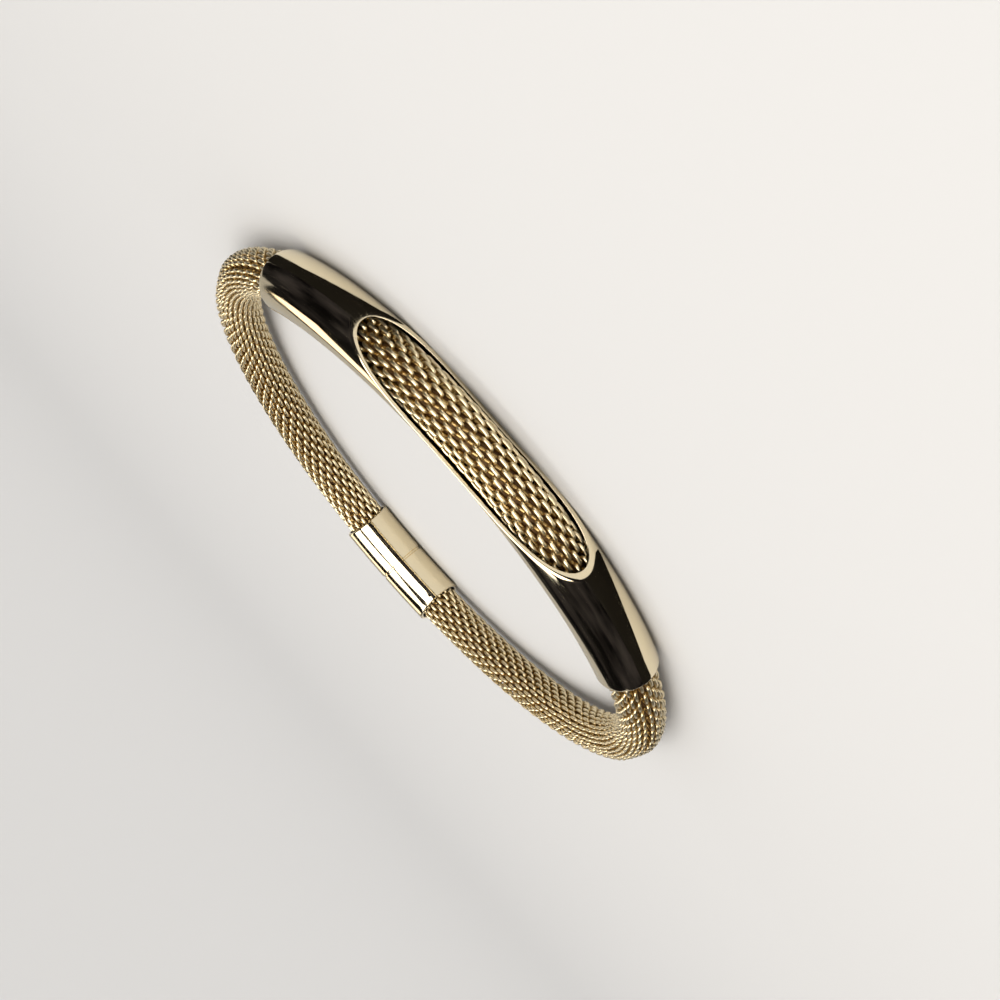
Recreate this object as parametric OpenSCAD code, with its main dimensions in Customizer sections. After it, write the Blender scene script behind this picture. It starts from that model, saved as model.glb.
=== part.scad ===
// Mesh bracelet: a woven metal rope that runs through a polished, curved
// tube and closes in a plain barrel clasp. It lies on its side, loop level.

/* [Loop] */
// Radius of the loop, on the middle line of the rope
loop_r = 31; // [28:0.5:36]

/* [Mesh rope] */
// Diameter of the woven rope
rope_d = 4.9; // [4:0.1:6]

/* [Bar] */
// Radial clearance between the rope and the tube's bore
bar_clearance = 0.2; // [0.1:0.05:0.3]
// Wall thickness of the tube
bar_wall = 0.35; // [0.25:0.05:0.5]
// Half the angle of the loop that the tube spans, in degrees
bar_half_angle = 49; // [40:1:60]
// How far the window's flat cut lies behind the tube's middle line
window_depth = 0.4; // [0.1:0.1:1]

/* [Clasp] */
// Wall thickness of the barrel round its pockets
clasp_wall = 0.45; // [0.3:0.05:0.8]
// Length of the barrel along the loop
clasp_length = 14; // [12:0.5:20]
// Depth of each end pocket that takes the rope
pocket_depth = 4.5; // [3:0.5:5]
// Radial clearance of the rope in its pocket
pocket_clearance = 0.1; // [0.05:0.05:0.2]
// Space between the rope's end and the pocket's floor
end_gap = 0.2; // [0.1:0.1:0.4]

/* [Hidden] */
$fn = 96;

rope_r = rope_d / 2;
bore_r = rope_r + bar_clearance;
bar_r = bore_r + bar_wall;
pocket_r = rope_r + pocket_clearance;
clasp_r = pocket_r + clasp_wall;

// Height of the middle line above the surface that the thicker pieces lie on
mid_z = max(bar_r, clasp_r);
// The outline, from the rope's front in the window to the clasp's back, is centred
centre_y = (rope_r - clasp_r) / 2;

// Directions round the loop, seen from above, counter-clockwise from +X
FRONT = 270;
BACK = 90;

// Angles of the loop that match lengths along its middle line
degrees_per_mm = 180 / PI / loop_r;
clasp_half_angle = clasp_length / 2 * degrees_per_mm;
pocket_angle = pocket_depth * degrees_per_mm;
rope_end_angle = clasp_half_angle - (pocket_depth - end_gap) * degrees_per_mm;

// A round section swept along the loop, between two directions
module arc(from, to, section_r) {
    translate([0, centre_y, mid_z])
        rotate_extrude(angle = to - from, start = from)
            translate([loop_r, 0])
                circle(r = section_r);
}

// Polished tube with a long oval window cut flat across its outer side
module bar() {
    margin = 1;
    reach = loop_r + 2 * bar_r;
    cut_y = centre_y - loop_r + window_depth;
    color("#C9A35B")
        difference() {
            arc(FRONT - bar_half_angle, FRONT + bar_half_angle, bar_r);
            arc(FRONT - bar_half_angle - margin, FRONT + bar_half_angle + margin, bore_r);
            translate([-reach, cut_y - reach, mid_z - reach])
                cube([2 * reach, reach, 2 * reach]);
        }
}

// Woven rope, one length from pocket to pocket of the clasp
module mesh_rope() {
    color("#A38A55")
        arc(BACK + rope_end_angle, BACK + 360 - rope_end_angle, rope_r);
}

// Plain curved barrel with a blind pocket for each end of the rope
module clasp() {
    margin = 1;
    pocket_mouth = clasp_half_angle + margin;
    pocket_floor = clasp_half_angle - pocket_angle;
    color("#C9A35B")
        difference() {
            arc(BACK - clasp_half_angle, BACK + clasp_half_angle, clasp_r);
            arc(BACK - pocket_mouth, BACK - pocket_floor, pocket_r);
            arc(BACK + pocket_floor, BACK + pocket_mouth, pocket_r);
        }
}

bar();
mesh_rope();
clasp();
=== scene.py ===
# %% [markdown]
# # A mesh bracelet in a polished tube
#
# The bracelet is a rope of woven, gold plated wire that runs through a curved, polished tube. A
# long oval window, cut flat across the tube's outer side, shows the mesh. A plain barrel clasp
# closes the loop behind. It lies on its side, as a bangle does when it is put down, so its loop is
# level and +Z is up.
#
# The CAD solids give every size. This lesson builds the pieces that need more than a solid can
# give: a tube with softly rounded rims, real wire coils for the mesh, and finishes that react to
# light as gold plate does.

# %% Load the frame
import math
import random

import bmesh
import bpy
from mathutils import Matrix, Quaternion, Vector


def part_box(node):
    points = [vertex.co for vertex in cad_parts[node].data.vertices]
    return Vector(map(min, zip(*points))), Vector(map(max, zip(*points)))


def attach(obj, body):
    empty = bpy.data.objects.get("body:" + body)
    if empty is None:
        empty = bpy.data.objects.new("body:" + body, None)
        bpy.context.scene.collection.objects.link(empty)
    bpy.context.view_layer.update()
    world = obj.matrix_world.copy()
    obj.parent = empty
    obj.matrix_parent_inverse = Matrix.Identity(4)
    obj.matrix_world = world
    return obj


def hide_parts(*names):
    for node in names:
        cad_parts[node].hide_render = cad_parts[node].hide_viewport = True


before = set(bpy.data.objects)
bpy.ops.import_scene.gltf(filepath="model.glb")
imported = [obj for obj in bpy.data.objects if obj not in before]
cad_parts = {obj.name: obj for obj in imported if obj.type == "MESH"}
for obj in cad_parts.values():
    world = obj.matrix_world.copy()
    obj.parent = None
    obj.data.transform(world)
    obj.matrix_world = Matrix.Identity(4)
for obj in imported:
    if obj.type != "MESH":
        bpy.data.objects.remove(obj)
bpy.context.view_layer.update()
bpy.ops.object.select_all(action="DESELECT")
MM = 0.001

# %% [markdown]
# ## Sizes from the frame
#
# A torus is known from its box. The rope's box gives the rope's radius, the loop's radius and the
# loop's centre. The tube's box adds its own radius, the place of the window's flat cut and the
# angle it spans. Reading them here keeps the looks in step with the solids if a size is changed.

# %% Read the sizes
rope_low, rope_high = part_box("mesh_rope")
bar_low, bar_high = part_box("bar")
clasp_low, clasp_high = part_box("clasp")
bar_r = (bar_high.z - bar_low.z) / 2
rope_r = (rope_high.z - rope_low.z) / 2
clasp_r = (clasp_high.z - clasp_low.z) / 2
loop_r = (rope_high.x - rope_low.x) / 2 - rope_r
centre = Vector((0, rope_low.y + rope_r + loop_r, (rope_low.z + rope_high.z) / 2))
cut_depth = bar_low.y - (centre.y - loop_r)
bar_end = math.asin(bar_high.x / (loop_r + bar_r))
clasp_half_angle = math.asin(clasp_high.x / (loop_r + clasp_r))
print("loop radius %.2f mm, rope radius %.2f mm, tube radius %.2f mm"
      % (loop_r / MM, rope_r / MM, bar_r / MM))
print("tube spans %.1f degrees each way, window cut %.2f mm behind the middle line"
      % (math.degrees(bar_end), cut_depth / MM))

# %% [markdown]
# ## One way to name a place on the loop
#
# Everything here is bent round the loop. A place is therefore named by an angle along the loop from
# the bar's middle, an angle round the section from its outer side, and a distance from the middle
# line. One function turns the three into a point, and another gives the angle along the loop of any
# point.

# %% Place a point on the loop
def outward_at(along):
    return Vector((math.sin(along), -math.cos(along), 0))


def on_loop(along, around, distance):
    outward = outward_at(along)
    section = outward * math.cos(around) + Vector((0, 0, math.sin(around)))
    return centre + outward * loop_r + section * distance


def along_of(place):
    return math.atan2(place.x - centre.x, centre.y - place.y)


rope_end = max(along_of(vertex.co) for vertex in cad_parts["mesh_rope"].data.vertices)
print("the rope ends %.1f degrees from the bar's middle, in the clasp" % math.degrees(rope_end))


# %% [markdown]
# Each piece is made in its place, with its object at the origin. When it is done it gets its name
# and its finish, it is told which body it rides on, and the solid it stands for is hidden.

# %% Finish a piece
def finish_piece(piece, name, material, replaces):
    """Names the piece, gives it its finish and ties it to the frame."""
    piece.name = name
    piece.data.name = name
    piece.data.materials.clear()
    piece.data.materials.append(material)
    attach(piece, "root")
    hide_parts(replaces)
    piece.data.calc_loop_triangles()
    print(name, "has", len(piece.data.loop_triangles), "triangles")


# %% [markdown]
# ## Helpers for finishes
#
# Colours are written as sRGB hex values, and Blender's shaders work in linear light, so one
# function converts them. A second small function adds a node with its settings and links.

# %% Colour and node helpers
def linear(hex_colour):
    def channel(text):
        value = int(text, 16) / 255
        return value / 12.92 if value <= 0.04045 else ((value + 0.055) / 1.055) ** 2.4
    return (channel(hex_colour[0:2]), channel(hex_colour[2:4]), channel(hex_colour[4:6]), 1)


def add_node(tree, kind, settings=None, inputs=None):
    """Adds a node. Settings are its properties. Inputs are constants, or output sockets to link."""
    node = tree.nodes.new(kind)
    for key, value in (settings or {}).items():
        setattr(node, key, value)
    for key, value in (inputs or {}).items():
        if isinstance(value, bpy.types.NodeSocket):
            tree.links.new(value, node.inputs[key])
        else:
            node.inputs[key].default_value = value
    return node


def new_material(name):
    material = bpy.data.materials.new(name)
    material.use_nodes = True
    tree = material.node_tree
    return material, tree, tree.nodes["Principled BSDF"]


print("the hex grey 808080 is %.2f in linear light" % linear("808080")[0])

# %% [markdown]
# The finishes follow the bend of the loop, as the pieces do. So Object coordinates are turned into
# the same three measures as above: the distance from the middle line, the angle along the loop and
# the angle round the section.

# %% Bend the coordinates round the loop
def loop_coordinates(tree):
    place = add_node(tree, "ShaderNodeTexCoord").outputs["Object"]
    centred = add_node(tree, "ShaderNodeVectorMath", {"operation": "SUBTRACT"},
                       {0: place, 1: tuple(centre)})
    parts = add_node(tree, "ShaderNodeSeparateXYZ",
                     inputs={"Vector": centred.outputs["Vector"]}).outputs
    flat = add_node(tree, "ShaderNodeCombineXYZ", inputs={"X": parts["X"], "Y": parts["Y"]})
    reach = add_node(tree, "ShaderNodeVectorMath", {"operation": "LENGTH"},
                     {0: flat.outputs["Vector"]})
    outward = add_node(tree, "ShaderNodeMath", {"operation": "SUBTRACT"},
                       {0: reach.outputs["Value"], 1: loop_r})
    section = add_node(tree, "ShaderNodeCombineXYZ",
                       inputs={"X": outward.outputs[0], "Y": parts["Z"]})
    distance = add_node(tree, "ShaderNodeVectorMath", {"operation": "LENGTH"},
                        {0: section.outputs["Vector"]})
    along = add_node(tree, "ShaderNodeMath", {"operation": "ARCTAN2"},
                     {0: parts["Y"], 1: parts["X"]})
    around = add_node(tree, "ShaderNodeMath", {"operation": "ARCTAN2"},
                      {0: parts["Z"], 1: outward.outputs[0]})
    return distance.outputs["Value"], along.outputs[0], around.outputs[0]


# %% [markdown]
# ## Finish: polished gold plate
#
# The tube and the clasp are brass, polished to a mirror and plated with a pale gold. A mirror has
# almost no colour of its own: it shows the studio, tinted. What gives it away as worn metal are
# hairline scratches that run along the tube, where cuffs rub it, and faint smudges that blur the
# mirror in places. The bore is never polished, so it is rough, and its dark brown colour is painted
# shade inside the tube.
#
# A real hairline is a few hundredths of a millimetre wide and too fine to show from here. These are
# drawn as coarse as they need to be to show.

# %% Make the polished plate
PLATE_TONE = "EFE1C0"
# The bore's tone is painted shade: dark brown where the inside of the tube lies in shade
BORE_PAINTED_SHADE_TONE = "3A2A16"
BRIGHT_ABOVE = 0.3 * MM
DULL_AND_SHADED_BELOW = 0.34 * MM
HAIR_WIDTH = 0.12 * MM
HAIR_LENGTH = 4 * MM
HAIR_HEIGHT = 0.01 * MM
SMUDGE = 5 * MM
MIRROR_ROUGHNESS = 0.05
SMUDGE_ROUGHNESS = 0.11
ADDED_BY_HAIRS = 0.16
BORE_ROUGHNESS = 0.5


def polished_gold_plate():
    material, tree, shader = new_material("polished gold plate")
    shader.inputs["Metallic"].default_value = 1
    distance, along, around = loop_coordinates(tree)

    # The tone, with the bore painted dark brown as shade: inputs 6 and 7 of a colour mix are its
    # two colours
    outside = add_node(tree, "ShaderNodeMapRange",
                       inputs={"Value": distance, "From Min": bar_r - DULL_AND_SHADED_BELOW,
                               "From Max": bar_r - BRIGHT_ABOVE})
    tone = add_node(tree, "ShaderNodeMix", {"data_type": "RGBA"}, {"Factor": outside.outputs[0]})
    tone.inputs[6].default_value = linear(BORE_PAINTED_SHADE_TONE)
    tone.inputs[7].default_value = linear(PLATE_TONE)
    tree.links.new(tone.outputs[2], shader.inputs["Base Color"])

    # Noise that is stretched along the tube, of which only the peaks become hairlines
    run = add_node(tree, "ShaderNodeMath", {"operation": "MULTIPLY"},
                   {0: along, 1: loop_r / HAIR_LENGTH})
    across = add_node(tree, "ShaderNodeMath", {"operation": "MULTIPLY"},
                      {0: around, 1: bar_r / HAIR_WIDTH})
    lined = add_node(tree, "ShaderNodeCombineXYZ",
                     inputs={"X": run.outputs[0], "Y": across.outputs[0]})
    hairs = add_node(tree, "ShaderNodeTexNoise",
                     inputs={"Vector": lined.outputs["Vector"], "Scale": 1.0, "Detail": 2.0,
                             "Roughness": 0.6})
    worn = add_node(tree, "ShaderNodeMapRange",
                    inputs={"Value": hairs.outputs["Fac"], "From Min": 0.56, "From Max": 0.72,
                            "To Min": 0, "To Max": ADDED_BY_HAIRS})

    # Broad, soft smudges
    place = add_node(tree, "ShaderNodeTexCoord").outputs["Object"]
    smudges = add_node(tree, "ShaderNodeTexNoise",
                       inputs={"Vector": place, "Scale": 1 / SMUDGE, "Detail": 3.0})
    polish = add_node(tree, "ShaderNodeMapRange",
                      inputs={"Value": smudges.outputs["Fac"], "From Min": 0.35, "From Max": 0.7,
                              "To Min": MIRROR_ROUGHNESS, "To Max": SMUDGE_ROUGHNESS})

    scuffed = add_node(tree, "ShaderNodeMath", inputs={0: polish.outputs[0], 1: worn.outputs[0]})
    roughness = add_node(tree, "ShaderNodeMix", {"data_type": "FLOAT"},
                         {"Factor": outside.outputs[0], "A": BORE_ROUGHNESS,
                          "B": scuffed.outputs[0]})
    tree.links.new(roughness.outputs[0], shader.inputs["Roughness"])
    bump = add_node(tree, "ShaderNodeBump",
                    inputs={"Height": hairs.outputs["Fac"], "Strength": 0.05,
                            "Distance": HAIR_HEIGHT})
    tree.links.new(bump.outputs["Normal"], shader.inputs["Normal"])
    return material


polished_gold = polished_gold_plate()
print("made", polished_gold.name)

# %% [markdown]
# ## Finish: gold plated wire
#
# The mesh is drawn brass wire under the same plate, but drawn wire is satin and not a mirror. Deep
# between the coils, where shade falls, its colour is painted darker and browner. This painted shade
# follows the depth below the rope's surface, which is known from the distance to the rope's middle
# line.

# %% Make the plated wire
wire_d = 0.35 * MM
# The deep and middle tones are painted shade between the coils, and the proud tone is the plate
DEEP_PAINTED_SHADE_TONE, MIDDLE_PAINTED_SHADE_TONE, PROUD_TONE = "94743C", "D6BC86", "F6E6C0"
DEEP_WIRE = 3 * wire_d
PROUD_WIRE = 0.3 * wire_d
SATIN_ROUGHNESS = 0.28


def gold_plated_wire():
    material, tree, shader = new_material("gold plated wire")
    distance = loop_coordinates(tree)[0]
    height = add_node(tree, "ShaderNodeMapRange",
                      inputs={"Value": distance, "From Min": rope_r - DEEP_WIRE,
                              "From Max": rope_r - PROUD_WIRE})
    tone = add_node(tree, "ShaderNodeValToRGB", inputs={"Fac": height.outputs[0]})
    tone.color_ramp.elements[0].color = linear(DEEP_PAINTED_SHADE_TONE)
    tone.color_ramp.elements[1].color = linear(PROUD_TONE)
    tone.color_ramp.elements.new(0.5).color = linear(MIDDLE_PAINTED_SHADE_TONE)
    tree.links.new(tone.outputs["Color"], shader.inputs["Base Color"])
    shader.inputs["Metallic"].default_value = 1
    shader.inputs["Roughness"].default_value = SATIN_ROUGHNESS
    return material


plated_wire = gold_plated_wire()
print("made", plated_wire.name)

# %% [markdown]
# ## Finish: dark brass, painted shade inside the rope
#
# The core inside the mesh is coloured dark brown as painted shade inside the rope. It is half
# metal, so it mirrors nothing clearly. Its tone varies at random in blotches about a millimetre
# wide.

# %% Make the dulled brass
BLOTCH = 1 * MM


def shade_dark_brass():
    material, tree, shader = new_material("shade dark brass")
    place = add_node(tree, "ShaderNodeTexCoord").outputs["Object"]
    blotch = add_node(tree, "ShaderNodeTexNoise",
                     inputs={"Vector": place, "Scale": 1 / BLOTCH, "Detail": 2.0})
    tone = add_node(tree, "ShaderNodeValToRGB", inputs={"Fac": blotch.outputs["Fac"]})
    # Painted shade: both tones are dark, as the inside of the rope lies in shade
    tone.color_ramp.elements[0].color = linear("4A341A")
    tone.color_ramp.elements[1].color = linear("6E5028")
    tree.links.new(tone.outputs["Color"], shader.inputs["Base Color"])
    shader.inputs["Metallic"].default_value = 0.5
    shader.inputs["Roughness"].default_value = 0.55
    return material


dark_core = shade_dark_brass()
print("made", dark_core.name)

# %% [markdown]
# ## The tube, drawn flat and rolled up
#
# A goldsmith would saw the window in a tube and file its rim flat. A plane could cut a modelled
# tube in the same way, but it would leave slivers along the cut, and a mirror shows each of them.
# So the wall is drawn as a flat sheet first: a grid whose first row is the window's edge and whose
# last row is the sheet's border. Each point is then put on the tube, where the two long borders
# meet at the back and are merged.

# %% Draw the window's edge and the sheet's border
WINDOW_STEPS = 384
END_STEPS = 72
bar_wall = 0.35 * MM
bore_r = bar_r - bar_wall


def window_edge(step, wall_r):
    """A point of the window's edge in a wall of this radius: angle along, angle round the tube."""
    turn = 2 * math.pi * step / WINDOW_STEPS
    level = loop_r - cut_depth
    along = math.acos(level / (loop_r + wall_r)) * math.cos(turn)
    opening = math.acos(max(-1, min(1, (level / math.cos(along) - loop_r) / wall_r)))
    return along, math.copysign(opening, math.sin(turn))


def sheet_border(step):
    """A point of the border: along the tube's two ends, and along the line where it closes."""
    half, quarter = WINDOW_STEPS // 2, WINDOW_STEPS // 4
    past = step % half
    near = min(past, half - past)
    if near <= END_STEPS // 2:
        along, around = bar_end, 2 * math.pi * near / END_STEPS
    else:
        along, around = bar_end * (quarter - near) / (quarter - END_STEPS // 2), math.pi
    side = -1 if quarter < step % WINDOW_STEPS < half + quarter else 1
    return side * along, -around if step > half else around


print("the window reaches %.1f degrees each way, and %.1f degrees round the tube"
      % (math.degrees(window_edge(0, bar_r)[0]),
         math.degrees(window_edge(WINDOW_STEPS // 4, bar_r)[1])))

# %% [markdown]
# The rings between the window and the border stand a little closer together near the window, where
# the eye looks. Each point also keeps its place on the bore, for the next step.

# %% Draw the wall of the tube
RINGS = 28
RING_CROWDING = 1.1
SAME_PLACE = 0.0005 * MM


def wall_place(ring, step, wall_r):
    share = (ring / RINGS) ** RING_CROWDING
    edge, border = window_edge(step, wall_r), sheet_border(step)
    along = edge[0] + (border[0] - edge[0]) * share
    around = edge[1] + (border[1] - edge[1]) * share
    return on_loop(along, around, wall_r)


def tube_wall():
    """The outside of the wall, as a sheet."""
    bpy.ops.mesh.primitive_grid_add(x_subdivisions=WINDOW_STEPS, y_subdivisions=RINGS, size=MM)
    wall = bpy.context.object
    on_bore = wall.data.attributes.new("on_bore", "FLOAT_VECTOR", "POINT")
    for vertex in wall.data.vertices:
        ring, step = divmod(vertex.index, WINDOW_STEPS + 1)
        vertex.co = wall_place(ring, step, bar_r)
        on_bore.data[vertex.index].vector = wall_place(ring, step, bore_r)
    bpy.ops.object.mode_set(mode="EDIT")
    bpy.ops.mesh.select_all(action="SELECT")
    bpy.ops.mesh.remove_doubles(threshold=SAME_PLACE)
    bpy.ops.object.mode_set(mode="OBJECT")
    return wall


# %% [markdown]
# Solidify doubles the sheet and closes its rims. The second skin is then set on the bore, so that
# the rim of the window lies flat, as a file leaves it. The corners are bevelled, as a polishing
# wheel rounds them: a rim with no radius catches no light and looks like paper. The wheel dwells at
# the window's tips and at the tube's ends, so a bevel weight lets those corners have more of the
# radius than the long sides.

# %% Thicken the wall and round its rims
LARGEST_ROUND = 0.28 * MM
LEAST_ROUND = 0.08 * MM
END_ROUND = 0.15 * MM
MORE_AT_TIP_INSIDE = 0.12 * MM
MORE_AT_TIP_OUTSIDE = 0.2 * MM
CORNER = math.radians(14)


def rim_round(place):
    """The radius for a corner at this place of the rim."""
    along = abs(along_of(place))
    inside = (place - on_loop(along_of(place), 0, 0)).length < (bar_r + bore_r) / 2
    tip = window_edge(0, bar_r)[0]
    if along > (tip + bar_end) / 2:
        return LEAST_ROUND if inside else END_ROUND
    more = MORE_AT_TIP_INSIDE if inside else MORE_AT_TIP_OUTSIDE
    return LEAST_ROUND + more * (along / tip) ** 4


def apply_modifier(piece, kind, settings):
    bpy.ops.object.modifier_add(type=kind)
    modifier = piece.modifiers[-1]
    for key, value in settings.items():
        setattr(modifier, key, value)
    bpy.ops.object.modifier_apply(modifier=modifier.name)


def polished_tube():
    tube = tube_wall()
    skin = len(tube.data.vertices)
    apply_modifier(tube, "SOLIDIFY", {"thickness": bar_wall, "offset": -1})
    on_bore = tube.data.attributes["on_bore"]
    for vertex in tube.data.vertices[skin:]:
        vertex.co = on_bore.data[vertex.index].vector
    tube.data.attributes.remove(on_bore)
    bpy.ops.object.mode_set(mode="EDIT")
    bpy.ops.mesh.select_all(action="SELECT")
    bpy.ops.mesh.normals_make_consistent(inside=False)
    mesh = bmesh.from_edit_mesh(tube.data)
    weight = mesh.edges.layers.float.new("bevel_weight_edge")
    for edge in mesh.edges:
        if edge.calc_face_angle() > CORNER:
            edge[weight] = rim_round(edge.verts[0].co) / LARGEST_ROUND
    bmesh.update_edit_mesh(tube.data)
    bpy.ops.object.mode_set(mode="OBJECT")
    apply_modifier(tube, "BEVEL",
                   {"limit_method": "WEIGHT", "width": LARGEST_ROUND, "segments": 5})
    bpy.ops.object.shade_smooth()
    apply_modifier(tube, "WEIGHTED_NORMAL", {})
    return tube


tube = polished_tube()
finish_piece(tube, "polished_tube", polished_gold, "bar")

# %% [markdown]
# ## The clasp, turned along the loop
#
# The clasp is a plain barrel that follows the bend of the loop, with a pocket at each end for the
# rope. It is made like a turned part: a disc at the bottom of one pocket is extruded step by step,
# out of the pocket, over the rounded mouth, along the outside with a fine parting line, and down
# into the other pocket. The same tool makes the core of the rope later.

# %% Turn a piece round the loop
def turned_round_loop(profile, sides):
    """Extrudes a disc through steps of (angle along the loop, radius), so both ends stay closed."""
    along, radius = profile[0]
    bpy.ops.mesh.primitive_circle_add(vertices=sides, radius=MM, fill_type="NGON")
    piece = bpy.context.object
    for vertex in piece.data.vertices:
        vertex.co = on_loop(along, math.atan2(vertex.co.y, vertex.co.x), radius)
    bpy.ops.object.mode_set(mode="EDIT")
    for next_along, next_radius in profile[1:]:
        bpy.ops.mesh.extrude_region()
        mesh = bmesh.from_edit_mesh(piece.data)
        middle = centre + outward_at(along) * loop_r
        for vertex in mesh.verts:
            if vertex.select:
                arm = vertex.co - middle
                around = math.atan2(arm.z, arm.dot(outward_at(along)))
                vertex.co = on_loop(next_along, around, next_radius)
        bmesh.update_edit_mesh(piece.data)
        along = next_along
    bpy.ops.mesh.select_all(action="SELECT")
    bpy.ops.mesh.normals_make_consistent(inside=False)
    bpy.ops.object.mode_set(mode="OBJECT")
    return piece


# %% [markdown]
# The profile is measured along the loop from the barrel's middle. Only its right half is written
# down, and the left half mirrors it. The rounded corners are quarter circles in five steps, and the
# straight runs are cut in short steps, because each is bent round the loop.

# %% Turn the clasp
BACK = math.pi
BEND_STEPS = 5
POCKET_STEPS = 6
SHAFT_STEPS = 12
pocket_r = rope_r + 0.1 * MM
pocket_depth = 4.5 * MM
mouth_round = 0.2 * MM
parting_depth = 0.12 * MM
parting_width = 0.2 * MM


def clasp_profile():
    """Steps of length along the loop, from the barrel's middle, and radius."""
    half = clasp_half_angle * loop_r
    bend = [math.pi / 2 * step / BEND_STEPS for step in range(BEND_STEPS + 1)]
    mouth = [(half - mouth_round * (1 - math.sin(a)), clasp_r - mouth_round * (1 - math.cos(a)))
             for a in bend]
    inner_round = clasp_r - pocket_r - mouth_round
    lip = [(half - inner_round * (1 - math.cos(a)), pocket_r + inner_round * (1 - math.sin(a)))
           for a in bend]
    floor = half - pocket_depth
    wall = [(floor + (half - inner_round - floor) * step / POCKET_STEPS, pocket_r)
            for step in range(POCKET_STEPS)]
    outside = half - mouth_round - parting_width
    shaft = [(parting_width + outside * (1 - step / SHAFT_STEPS), clasp_r)
             for step in range(1, SHAFT_STEPS + 1)]
    parting = [(parting_width / 2, clasp_r - parting_depth)]
    right = wall + lip[:0:-1] + mouth[::-1] + shaft + parting
    left = [(-length, radius) for length, radius in reversed(right)]
    return right + left


clasp_steps = [(BACK - length / loop_r, radius) for length, radius in clasp_profile()]
clasp = turned_round_loop(clasp_steps, sides=96)
bpy.ops.object.shade_smooth_by_angle(angle=math.radians(30))
finish_piece(clasp, "barrel_clasp", polished_gold, "clasp")

# %% [markdown]
# ## The mesh, coil by coil
#
# The rope is a tube of woven mesh. Each row is one thin wire, wound as a flat coil that runs once
# round the rope, and each coil is hooked through the next, so the turns of neighbouring rows lie
# between each other. On the outside each turn shows as a short arch that points along the rope.
#
# A bump map could fake the weave from far away, but the arches have to catch the light one by one,
# and the gaps have to be truly dark. So a coil is laid as a curve with a round section, made a
# mesh, and copied row after row.
#
# The arches stand in columns. A coil uses every second column, and the next row uses the columns
# between them, so there are two coils to copy. Where a coil's two ends come together, the joint
# between two columns is wider and sinks in a little. That is the seam of the mesh, a fine groove
# that runs along the rope.

# %% Wind one coil
COIL_TURNS = 13
STEPS_PER_TURN = 14
SEAM_WIDTH = math.radians(21)
COLUMN = (2 * math.pi - SEAM_WIDTH) / (2 * COIL_TURNS - 1)
coil_length = 1.62 * MM
coil_depth = 1.12 * MM
seam_sink = 0.22 * MM
# At 1 the wire runs straight along the rope on the outside, and moves on to the next turn inside
LEAN = 0.95
# At 1 a turn of the coil is an oval, and below 1 it has squarer corners
SQUARE = 0.62


def coil_path(first_column):
    """The middle line of a coil's wire, in a row at the bar's middle. Angles start at the seam."""
    half_length = (coil_length - wire_d) / 2
    half_depth = (coil_depth - wire_d) / 2
    points = []
    for step in range(1, COIL_TURNS * STEPS_PER_TURN):
        share = step / STEPS_PER_TURN
        angle = 2 * math.pi * share - math.pi / 2
        forward = half_length * math.copysign(abs(math.cos(angle)) ** SQUARE, math.cos(angle))
        height = half_depth * math.copysign(abs(math.sin(angle)) ** SQUARE, math.sin(angle))
        turn = share - 0.5 + LEAN / (2 * math.pi) * math.cos(angle)
        around = SEAM_WIDTH / 2 + COLUMN * (first_column + 2 * turn)
        from_seam = min(around, 2 * math.pi - around)
        sink = seam_sink * math.exp(-(from_seam / COLUMN) ** 2)
        distance = rope_r - coil_depth / 2 + height - sink
        points.append(Vector((forward, -distance * math.cos(around), distance * math.sin(around))))
    return points


def wound_coil(first_column):
    """Lays the wire as a curve with a round section, and makes it a mesh."""
    curve = bpy.data.curves.new("coil", "CURVE")
    curve.dimensions = "3D"
    curve.bevel_depth = wire_d / 2
    curve.bevel_resolution = 1
    curve.use_fill_caps = True
    points = coil_path(first_column)
    wire = curve.splines.new("POLY")
    wire.points.add(len(points) - 1)
    for point, place in zip(wire.points, points):
        point.co = (*place, 1)
    coil = bpy.data.objects.new("coil", curve)
    bpy.context.collection.objects.link(coil)
    bpy.context.view_layer.objects.active = coil
    coil.select_set(True)
    bpy.ops.object.convert(target="MESH")
    bpy.ops.object.shade_smooth()
    coil = bpy.context.object
    coil.select_set(False)
    return coil


even_coil = wound_coil(0)
odd_coil = wound_coil(1)
print("a coil has", len(even_coil.data.polygons), "faces")

# %% [markdown]
# No row of a real mesh lies quite like the next one, so each copy is turned and shifted by a hair.
# The rope is made in three lengths, as each may have 200,000 triangles at most. They meet inside
# the tube, out of sight.

# %% Set the rows along the rope
row_spacing = 0.96 * MM
TWIST_PLAY_DEGREES = 1.2
SHIFT_PLAY_MM = 0.03
row_play = random.Random(7)


def mesh_length(name, start, end, seam):
    """Rows of coils between two angles along the loop, with the seam at an angle round the rope."""
    rows = round((end - start) * loop_r / row_spacing)
    bpy.ops.object.select_all(action="DESELECT")
    for row in range(rows + 1):
        coil = even_coil if row % 2 == 0 else odd_coil
        copy = bpy.data.objects.new(name, coil.data.copy())
        bpy.context.collection.objects.link(copy)
        along = start + (end - start) * row / rows
        twist = seam + math.radians(row_play.uniform(-TWIST_PLAY_DEGREES, TWIST_PLAY_DEGREES))
        shift = row_play.uniform(-SHIFT_PLAY_MM, SHIFT_PLAY_MM) * MM
        turn = Matrix.Rotation(-twist, 4, "X")
        place = (Matrix.Translation(centre) @ Matrix.Rotation(along, 4, "Z")
                 @ Matrix.Translation((shift, -loop_r, 0)) @ turn)
        copy.data.transform(place)
        copy.select_set(True)
    bpy.context.view_layer.objects.active = copy
    bpy.ops.object.join()
    return bpy.context.object


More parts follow.
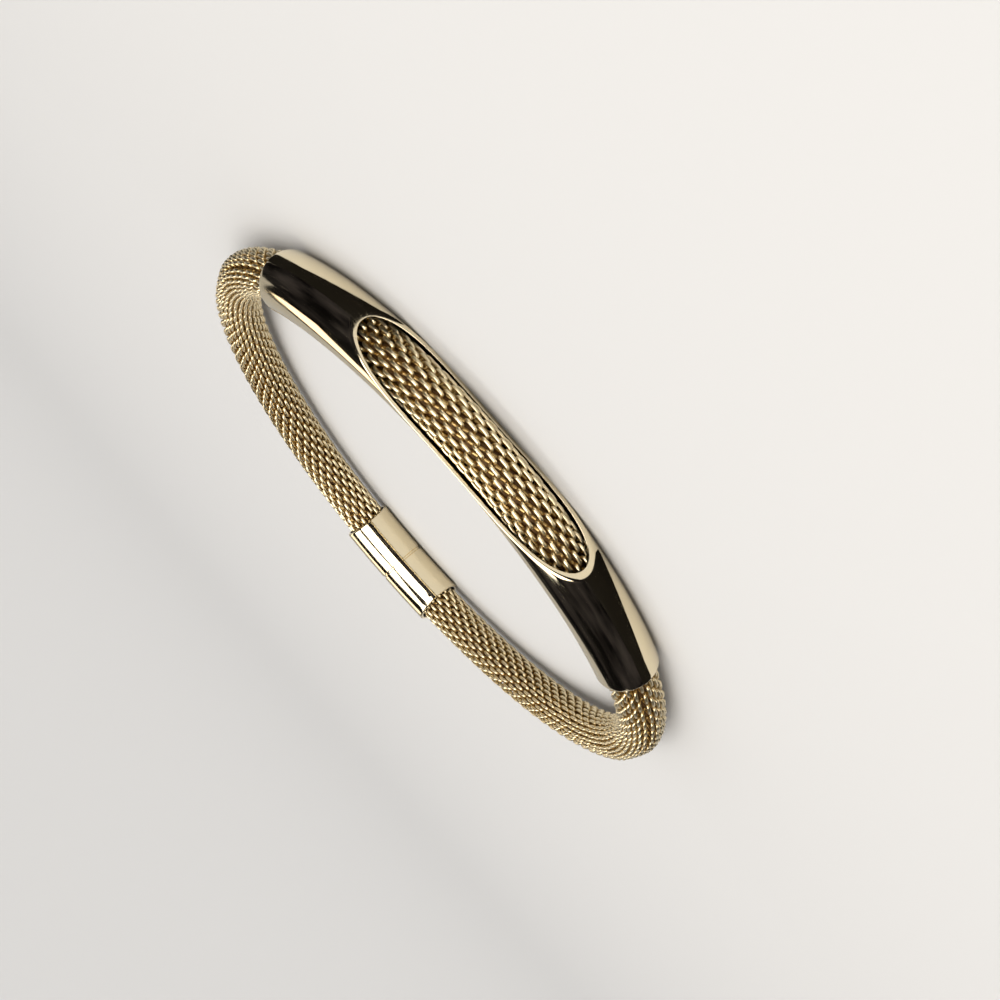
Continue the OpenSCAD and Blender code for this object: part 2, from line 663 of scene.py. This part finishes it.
half_row = coil_length / 2 / loop_r
hidden_end = (bar_end + math.acos((loop_r - cut_depth) / (loop_r + bar_r))) / 2
next_row = hidden_end + row_spacing / loop_r
ROPE_PARTS = {
    "mesh_in_window": (-hidden_end, hidden_end, math.pi),
    "mesh_right": (next_row, rope_end - half_row, math.radians(40)),
    "mesh_left": (half_row - rope_end, -next_row, math.radians(25)),
}
for name, (start, end, seam) in ROPE_PARTS.items():
    finish_piece(mesh_length(name, start, end, seam), name, plated_wire, "mesh_rope")
bpy.data.objects.remove(even_coil)
bpy.data.objects.remove(odd_coil)

# %% [markdown]
# The mesh is wound round an inner tube whose dark colour is painted shade inside the rope. Only its
# darkness is seen, between the wires.

# %% Add the core
core_r = 1.42 * MM
CORE_STEPS = 240
core_steps = [(rope_end * (2 * step / CORE_STEPS - 1), core_r) for step in range(CORE_STEPS + 1)]
core = turned_round_loop(core_steps, sides=20)
bpy.ops.object.shade_smooth_by_angle(angle=math.radians(40))
finish_piece(core, "rope_core", dark_core, "mesh_rope")

# %% [markdown]
# ## The studio
#
# A mirror finish is lit by what it reflects. The bracelet lies on pale paper that rises all round
# it in a cove, so that no edge shows from any side.
#
# The camera and the metal don't see the same cove. The one that the camera sees goes all round. The
# one that the metal mirrors stands behind the bracelet only and is greyer. It gives the tube its
# cream flank and the gold line along its upper side, and it leaves the face of the tube to the dim
# room in front, so that the face stays nearly black.

# %% Lay the floor and the coves
# The studio is measured in metres
FLOOR_REACH = 4
COVE_DISTANCE = 0.32
COVE_DEPTH = 0.53
COVE_HEIGHT = 0.5
COVE_STEPS = 32
COVE_TURNS = 48
BEHIND_ONLY = math.radians(62)
ALL_ROUND = math.pi
# The foot of a cove starts this far below the floor, so that the two never lie in one plane
COVE_FOOT = 0.05 * MM


def matt_paper(name, colour):
    material, _, shader = new_material(name)
    shader.inputs["Base Color"].default_value = linear(colour)
    shader.inputs["Roughness"].default_value = 0.95
    shader.inputs["Specular IOR Level"].default_value = 0.1
    return material


def round_cove(name, half_angle, setback, material):
    """A sheet of paper that leaves the floor ever more steeply, swept round the set."""
    profile = [(COVE_DISTANCE + COVE_DEPTH * step / COVE_STEPS,
                COVE_HEIGHT * (step / COVE_STEPS) ** 3) for step in range(COVE_STEPS + 1)]
    bpy.ops.mesh.primitive_grid_add(x_subdivisions=COVE_STEPS, y_subdivisions=COVE_TURNS, size=1)
    cove = bpy.context.object
    for vertex in cove.data.vertices:
        turn, step = divmod(vertex.index, len(profile))
        reach, height = profile[step]
        reach += setback
        angle = half_angle * (2 * turn / COVE_TURNS - 1)
        vertex.co = (reach * math.sin(angle), reach * math.cos(angle), height - COVE_FOOT)
    bpy.ops.object.shade_smooth()
    cove.name = name
    cove.data.materials.append(material)
    cove.visible_shadow = False
    return cove


paper = matt_paper("matt paper", "C0BFBE")
grey_paper = matt_paper("grey matt paper", "A09F9E")
bpy.ops.mesh.primitive_circle_add(vertices=128, radius=FLOOR_REACH, fill_type="NGON",
                                  location=(0, 0, 0))
floor = bpy.context.object
floor.name = "floor"
floor.data.materials.append(paper)

mirrored_cove = round_cove("mirrored_cove", BEHIND_ONLY, 3 * MM, grey_paper)
mirrored_cove.visible_camera = False
background = round_cove("background", ALL_ROUND, 0, paper)
background.visible_glossy = False
background.visible_diffuse = False
print("laid the floor and two coves")

# %% [markdown]
# Photographers lay black card beside a shiny piece, just out of the picture, to keep its face dark.
# Here two cards lie left and right of the tube. The camera doesn't see them, and they cast no shade
# on the paper. Each is a sector of a ring that starts close beside the tube, draws back a little
# over its first third, and goes far out. The right one starts nearer to the window, because the
# flat rim at that tip of the window mirrors it.

# %% Lay the black cards
CARD_STEPS = 24
CARD_REACH = 4.5
CARD_START = 1.5 * MM
CARD_DRAWS_BACK = 5 * MM
CARD_LIFT = 0.1 * MM


def black_card():
    material, _, shader = new_material("black card")
    shader.inputs["Base Color"].default_value = linear("151413")
    shader.inputs["Roughness"].default_value = 1
    shader.inputs["Specular IOR Level"].default_value = 0
    return material


def flag(name, first_angle, last_angle, material):
    bpy.ops.mesh.primitive_grid_add(x_subdivisions=1, y_subdivisions=CARD_STEPS, size=1)
    card = bpy.context.object
    for vertex in card.data.vertices:
        step, far = divmod(vertex.index, 2)
        share = step / CARD_STEPS
        angle = math.radians(first_angle + (last_angle - first_angle) * share)
        near_reach = loop_r + CARD_START + CARD_DRAWS_BACK * min(1, 3 * share)
        vertex.co = centre + outward_at(angle) * (CARD_REACH if far else near_reach)
        vertex.co.z = CARD_LIFT
    card.name = name
    card.data.materials.append(material)
    card.visible_camera = False
    card.visible_diffuse = False
    card.visible_shadow = False


card_black = black_card()
flag("left_flag", -25, -105, card_black)
flag("right_flag", 21, 105, card_black)
print("laid two black cards")

# %% [markdown]
# One large soft box above the camera lights the paper and the wires in the window. It can't be seen
# in the tube, as the tube's surface is cut away where it would mirror the box. Two smaller boxes,
# overhead and behind, only draw highlights on the metal. A wash behind the bracelet only evens out
# the tone of the paper.

# %% Set the lights
SET_MIDDLE = (0, 0, 0)


def soft_light(name, place, aim, size, watts, colour):
    bpy.ops.object.light_add(type="AREA", location=place)
    light = bpy.context.object
    light.name = name
    light.data.shape = "RECTANGLE"
    light.data.size, light.data.size_y = size
    light.data.energy = watts
    light.data.color = linear(colour)[:3]
    light.rotation_mode = "QUATERNION"
    light.rotation_quaternion = (Vector(aim) - Vector(place)).to_track_quat("-Z", "Y")
    light.visible_camera = False
    return light


soft_light("front", place=(-0.05, -0.43, 0.42), aim=SET_MIDDLE, size=(0.66, 0.44),
           watts=4.3, colour="FFFAF2")
top_light = soft_light("top", place=(-0.03, 0.02, 0.62), aim=SET_MIDDLE, size=(0.36, 0.42),
                       watts=1.3, colour="FFFEFC")
back_light = soft_light("back", place=(0.22, 0.5, 0.5), aim=SET_MIDDLE, size=(0.5, 0.2),
                        watts=0.7, colour="FFEFD4")
wash = soft_light("wash", place=(0, 0.25, 0.75), aim=(0, 0.75, 0.15), size=(1.2, 0.4),
                  watts=3.4, colour="FFFEFC")
top_light.visible_diffuse = False
back_light.visible_diffuse = False
wash.visible_glossy = False
print("set four lights")

# %% [markdown]
# The paper is lit from all round by a pale, even room. The metal mirrors another room, which is dim
# and has a few faint shapes in it, as any real room has. Without them the dark face of the tube
# would look painted.

# %% Make the two rooms
PALE_ROOM = 0.75
DARKEST_SHAPE = 0.003
BRIGHTEST_SHAPE = 0.046

world = bpy.data.worlds.new("studio")
bpy.context.scene.world = world
world.use_nodes = True
tree = world.node_tree
tree.nodes.clear()
path = add_node(tree, "ShaderNodeLightPath")
room = add_node(tree, "ShaderNodeBackground",
                inputs={"Color": linear("FAFAFA"), "Strength": PALE_ROOM})
towards = add_node(tree, "ShaderNodeTexCoord").outputs["Generated"]
shapes = add_node(tree, "ShaderNodeTexNoise",
                  inputs={"Vector": towards, "Scale": 2.6, "Detail": 3.0})
gloom = add_node(tree, "ShaderNodeMapRange",
                 inputs={"Value": shapes.outputs["Fac"], "From Min": 0.42, "From Max": 0.7,
                         "To Min": DARKEST_SHAPE, "To Max": BRIGHTEST_SHAPE})
dim = add_node(tree, "ShaderNodeBackground",
               inputs={"Color": linear("F0E6F4"), "Strength": gloom.outputs[0]})
mix = add_node(tree, "ShaderNodeMixShader",
               inputs={0: path.outputs["Is Glossy Ray"], 1: room.outputs[0], 2: dim.outputs[0]})
add_node(tree, "ShaderNodeOutputWorld", inputs={"Surface": mix.outputs[0]})
print("made the world", world.name)

# %% [markdown]
# ## The camera
#
# The picture was taken from in front of the bar, a little above the level loop, with the camera
# rolled, so the bar runs from the upper left to the lower right.

# %% Set the camera
CAMERA_PLACE = Vector((-10.5, -144.1, 34.6)) * MM
CAMERA_AIM = Vector((-5.1, -31.1, 4.5)) * MM
CAMERA_ROLL = -130.8
CAMERA_LENS = 50.4

bpy.ops.object.camera_add(location=CAMERA_PLACE)
camera = bpy.context.object
camera.rotation_mode = "QUATERNION"
level = (CAMERA_AIM - CAMERA_PLACE).to_track_quat("-Z", "Y")
camera.rotation_quaternion = level @ Quaternion((0, 0, 1), math.radians(CAMERA_ROLL))
camera.data.sensor_width = 36
camera.data.lens = CAMERA_LENS
camera.data.clip_start = 1 * MM
camera.data.clip_end = 10
bpy.context.scene.camera = camera
bpy.context.scene.view_settings.view_transform = "Standard"
print("the camera stands %.0f mm from what it looks at" % ((CAMERA_AIM - CAMERA_PLACE).length / MM))
